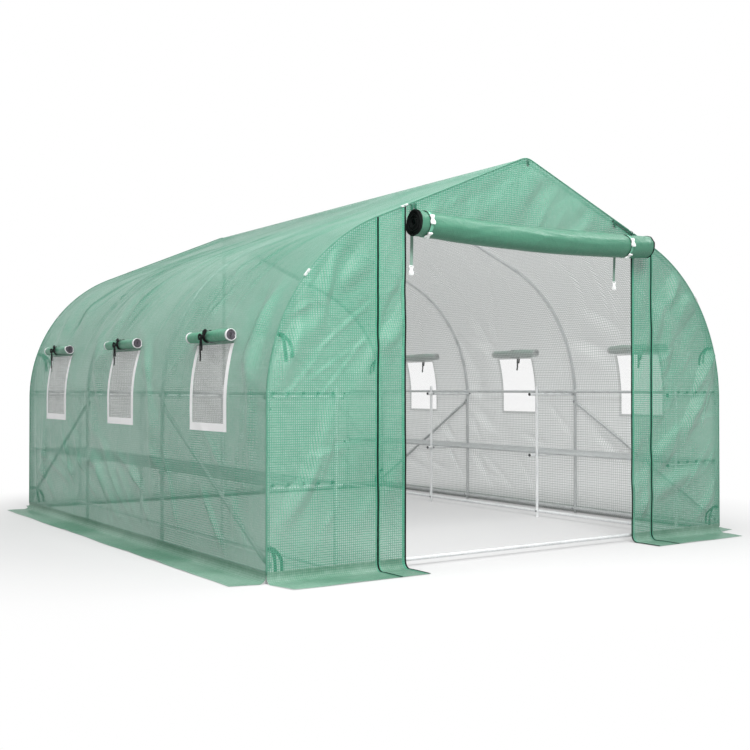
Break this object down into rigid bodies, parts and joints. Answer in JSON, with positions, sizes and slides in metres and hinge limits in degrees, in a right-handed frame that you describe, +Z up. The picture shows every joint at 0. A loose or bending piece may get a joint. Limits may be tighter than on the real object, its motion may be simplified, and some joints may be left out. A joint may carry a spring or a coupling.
{
  "type": "polytunnel greenhouse",
  "caption": "Walk-in tunnel greenhouse: bent steel hoops and slatted racks under a green woven cover with mesh windows, rolled flaps and a rolled-up door.",
  "frame": {"origin": "centre of the ground plan, at ground level", "axes": "+X to the right seen from the door, +Y from the door to the rear wall, +Z up"},
  "size_m": [3.33, 3.89, 2.02],
  "materials": {
    "galvanised_tube": "galvanised, satin",
    "end_cap": "moulded, satin",
    "wall_sheet": "woven sheet with a film on both faces",
    "front_sheet": "woven sheet with a film on both faces",
    "skirt_sheet": "woven sheet with a film on both faces",
    "door_sheet": "woven sheet with a film on both faces, rolled",
    "flap_sheet": "woven sheet with a film on both faces, rolled",
    "screen_mesh": "fine mesh",
    "border_tape": "woven tape",
    "zip_tape": "woven tape with a moulded chain",
    "strap_webbing": "flat webbing",
    "buckle": "moulded",
    "clamp": "moulded"
  },
  "bodies": {
    "root": {"legs_left": "galvanised_tube", "legs_right": "galvanised_tube", "shoulders_left": "galvanised_tube", "shoulders_right": "galvanised_tube", "rafters_left": "galvanised_tube", "rafters_right": "galvanised_tube", "ridge_elbows": "galvanised_tube", "ridge_rails": "galvanised_tube", "wall_rails": "galvanised_tube", "end_rails": "galvanised_tube", "rack_rails": "galvanised_tube", "braces": "galvanised_tube", "posts_left": "galvanised_tube", "posts_right": "galvanised_tube", "cross_tubes_left": "galvanised_tube", "cross_tubes_right": "galvanised_tube", "shelf_left_lower": "galvanised_tube", "shelf_left_upper": "galvanised_tube", "shelf_right_lower": "galvanised_tube", "shelf_right_upper": "galvanised_tube", "slat_caps": "end_cap", "cross_caps": "end_cap", "cover_left": "wall_sheet", "cover_right": "wall_sheet", "rear_wall": "wall_sheet", "front_left": "front_sheet", "front_right": "front_sheet", "gable": "front_sheet", "skirt_left": "skirt_sheet", "skirt_right": "skirt_sheet", "skirt_rear": "skirt_sheet", "skirt_front_left": "skirt_sheet", "skirt_front_right": "skirt_sheet", "door_roll": "door_sheet", "door_straps": "strap_webbing", "door_buckles": "buckle", "front_zips": "zip_tape", "skirt_zips": "zip_tape", "screens_left": "screen_mesh", "screens_right": "screen_mesh", "borders_left": "border_tape", "borders_right": "border_tape", "flap_rolls_left": "flap_sheet", "flap_rolls_right": "flap_sheet", "clamps": "clamp"}
  },
  "joints": []
}
